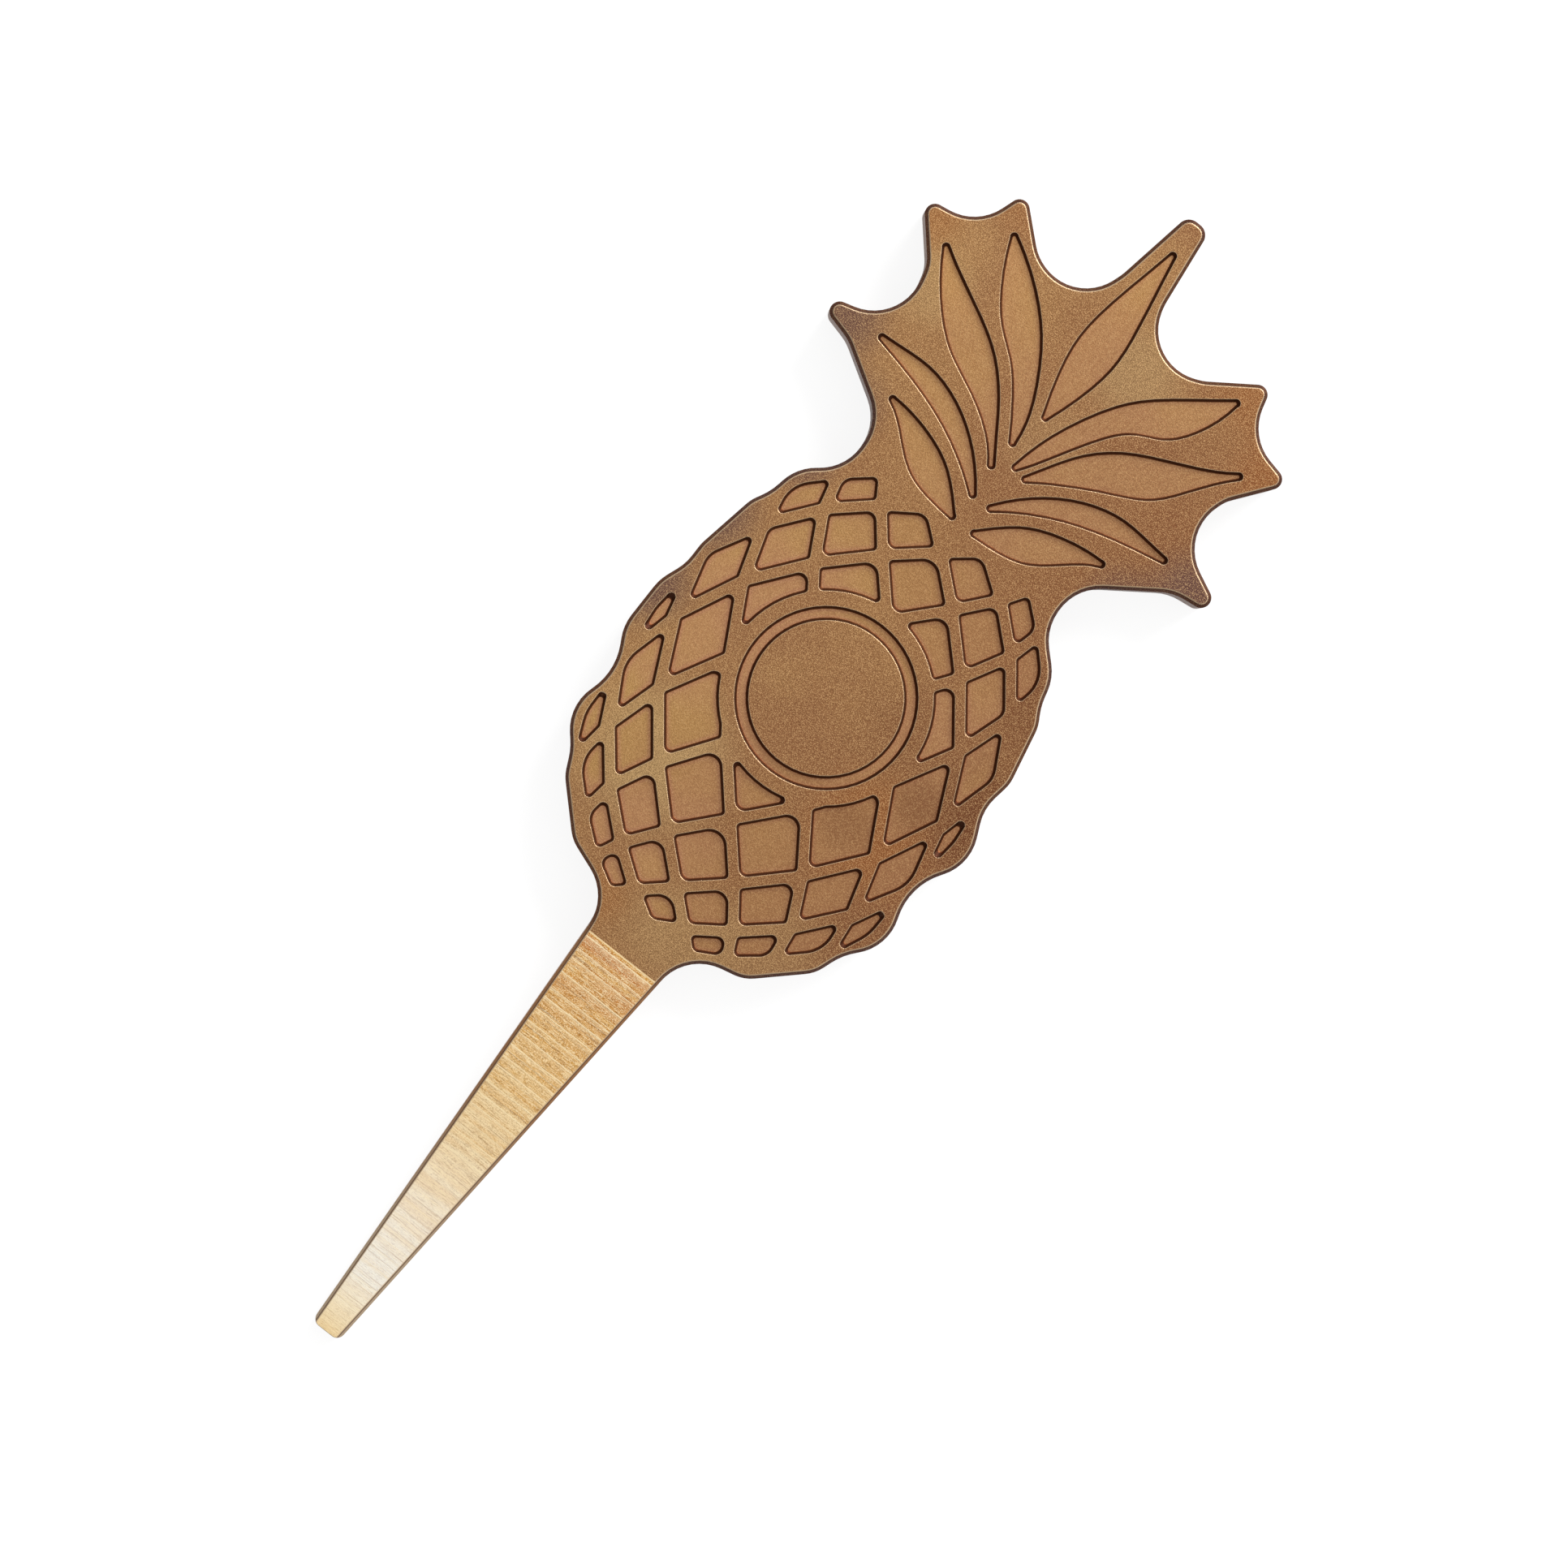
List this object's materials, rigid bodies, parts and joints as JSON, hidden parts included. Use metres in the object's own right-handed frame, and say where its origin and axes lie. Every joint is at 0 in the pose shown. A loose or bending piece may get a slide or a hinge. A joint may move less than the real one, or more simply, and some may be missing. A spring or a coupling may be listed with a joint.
{
  "type": "golf divot tool",
  "caption": "Flat brass golf divot tool: a pineapple-shaped plate with a pocketed scale lattice, a leaf crown and a tapered lifting prong.",
  "frame": {"origin": "on the flat back face, under the middle of the round medallion", "axes": "+Z out of the decorated face, +Y towards the leaf crown, -Y towards the tip of the prong"},
  "size_m": [0.0302, 0.0889, 0.0048],
  "materials": {
    "patina_brass": "bead-blasted brown patina, bright where the prong is milled"
  },
  "bodies": {
    "root": {"divot_tool": "patina_brass"}
  },
  "joints": []
}
